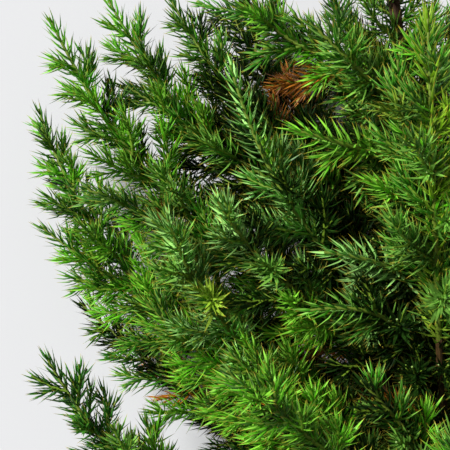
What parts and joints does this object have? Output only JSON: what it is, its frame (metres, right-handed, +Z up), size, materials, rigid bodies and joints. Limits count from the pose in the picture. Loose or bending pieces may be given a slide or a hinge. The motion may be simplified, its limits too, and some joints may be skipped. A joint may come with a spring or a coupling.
{
  "type": "juniper bough",
  "caption": "Bushy cut bough of a needle-leaved juniper, lying on its side: a woody stem with side boughs that each carry a mass of prickly green shoots.",
  "frame": {"origin": "under the middle of the bough, on the surface that it lies on", "axes": "+Y along the bough from its cut end to its leading shoot, +Z up from the surface, +X to the right as seen from above with +Y away"},
  "size_m": [0.1944, 0.297, 0.1111],
  "materials": {
    "bark": "dull, fibrous",
    "bough_bark": "dull",
    "foliage": "semi-matt needles"
  },
  "bodies": {
    "root": {"stem": "bark", "bough_low_left": "bough_bark", "bough_low_inner": "bough_bark", "bough_under_left": "bough_bark", "bough_middle_left": "bough_bark", "bough_upper_left_back": "bough_bark", "bough_upper_left": "bough_bark", "bough_top_left": "bough_bark", "bough_top_middle": "bough_bark", "bough_front_middle": "bough_bark", "bough_front_rosette": "bough_bark", "bough_front_bottom": "bough_bark", "bough_front_column": "bough_bark", "bough_low_middle": "bough_bark", "bough_inner_left": "bough_bark", "bough_middle_left_front": "bough_bark", "bough_upper_inner": "bough_bark", "bough_right_upper": "bough_bark", "bough_right_middle": "bough_bark", "bough_right_low": "bough_bark", "bough_right_back": "bough_bark", "bough_right_bottom": "bough_bark", "bough_back_upper": "bough_bark", "bough_back_low": "bough_bark", "foliage_low_left": "foliage", "foliage_low_inner": "foliage", "foliage_under_left": "foliage", "foliage_middle_left": "foliage", "foliage_upper_left_back": "foliage", "foliage_upper_left": "foliage", "foliage_top_left": "foliage", "foliage_top_middle": "foliage", "foliage_front_middle": "foliage", "foliage_front_rosette": "foliage", "foliage_front_bottom": "foliage", "foliage_front_column": "foliage", "foliage_low_middle": "foliage", "foliage_inner_left": "foliage", "foliage_middle_left_front": "foliage", "foliage_upper_inner": "foliage", "foliage_right_upper": "foliage", "foliage_right_middle": "foliage", "foliage_right_low": "foliage", "foliage_right_back": "foliage", "foliage_right_bottom": "foliage", "foliage_back_upper": "foliage", "foliage_back_low": "foliage", "foliage_top_right": "foliage", "foliage_front_upper": "foliage", "foliage_front_right": "foliage", "foliage_front_lower": "foliage", "foliage_middle_rosette": "foliage", "foliage_low_right": "foliage", "foliage_right_top": "foliage", "foliage_right_front": "foliage", "foliage_upper_front": "foliage", "foliage_inner_column": "foliage", "foliage_low_column": "foliage", "foliage_right_crown": "foliage", "foliage_leader": "foliage"}
  },
  "joints": []
}
